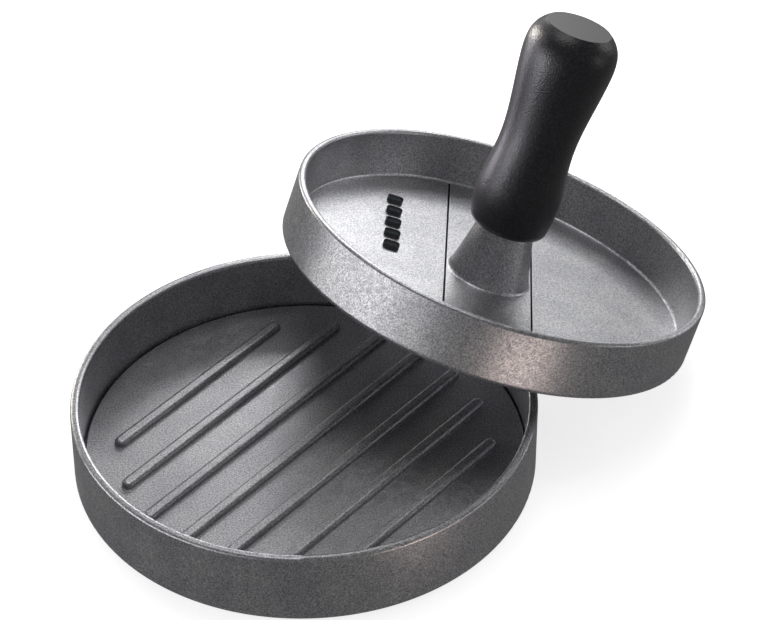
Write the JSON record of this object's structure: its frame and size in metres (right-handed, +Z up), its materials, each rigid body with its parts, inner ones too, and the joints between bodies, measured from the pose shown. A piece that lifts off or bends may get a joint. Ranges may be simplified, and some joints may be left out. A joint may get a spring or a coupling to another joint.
{
  "type": "patty press",
  "caption": "Cast ring with a ribbed lift-out floor, and a flanged round press dish with an hourglass grip on a conical boss, leaning against the ring's rim.",
  "frame": {"origin": "centre of the ring's foot, on the surface it stands on", "axes": "+Z up, along the ring's axis; the press leans outwards from the ring, 35 degrees from +X towards +Y"},
  "size_m": [0.1666, 0.1652, 0.0959],
  "materials": {
    "coated_casting": "fine-speckled metallic grey non-stick coat on cast aluminium",
    "grip_core": "moulded dark grey plastic, fine satin",
    "grip_skin": "near-black soft-touch skin with a fine grain",
    "brass": "turned and knurled",
    "steel": "bright zinc-plated thread",
    "seal": "matt black silicone"
  },
  "bodies": {
    "ring": {"base_ring": "coated_casting"},
    "floor": {"lift_out_floor": "coated_casting"},
    "press": {"press_dish": "coated_casting"},
    "seal": {"seal_ring": "seal"},
    "grip": {"grip_core": "grip_core", "grip_skin": "grip_skin", "threaded_insert": "brass", "handle_stud": "steel"}
  },
  "joints": [
    {"name": "floor_lift", "type": "slide", "parent": "ring", "child": "floor", "axis": [0, 0, 1], "range_m": [0, 0.012]},
    {"name": "press_lift", "type": "slide", "parent": "ring", "child": "press", "axis": [0, 0, 1], "range_m": [0, 0.09]},
    {"name": "grip_rise", "type": "slide", "parent": "press", "child": "seal", "axis": [0.3025, 0.2118, 0.9293], "range_m": [0, 0.01]},
    {"name": "grip_unscrew", "type": "hinge", "parent": "seal", "child": "grip", "pos_m": [0.04741, 0.04614, 0.0206], "axis": [0.3025, 0.2118, 0.9293], "range_deg": [0, 2880]}
  ],
  "couplings": [
    {"joint": "grip_rise", "follows": "grip_unscrew", "m_per_rad": 0.00019894}
  ]
}
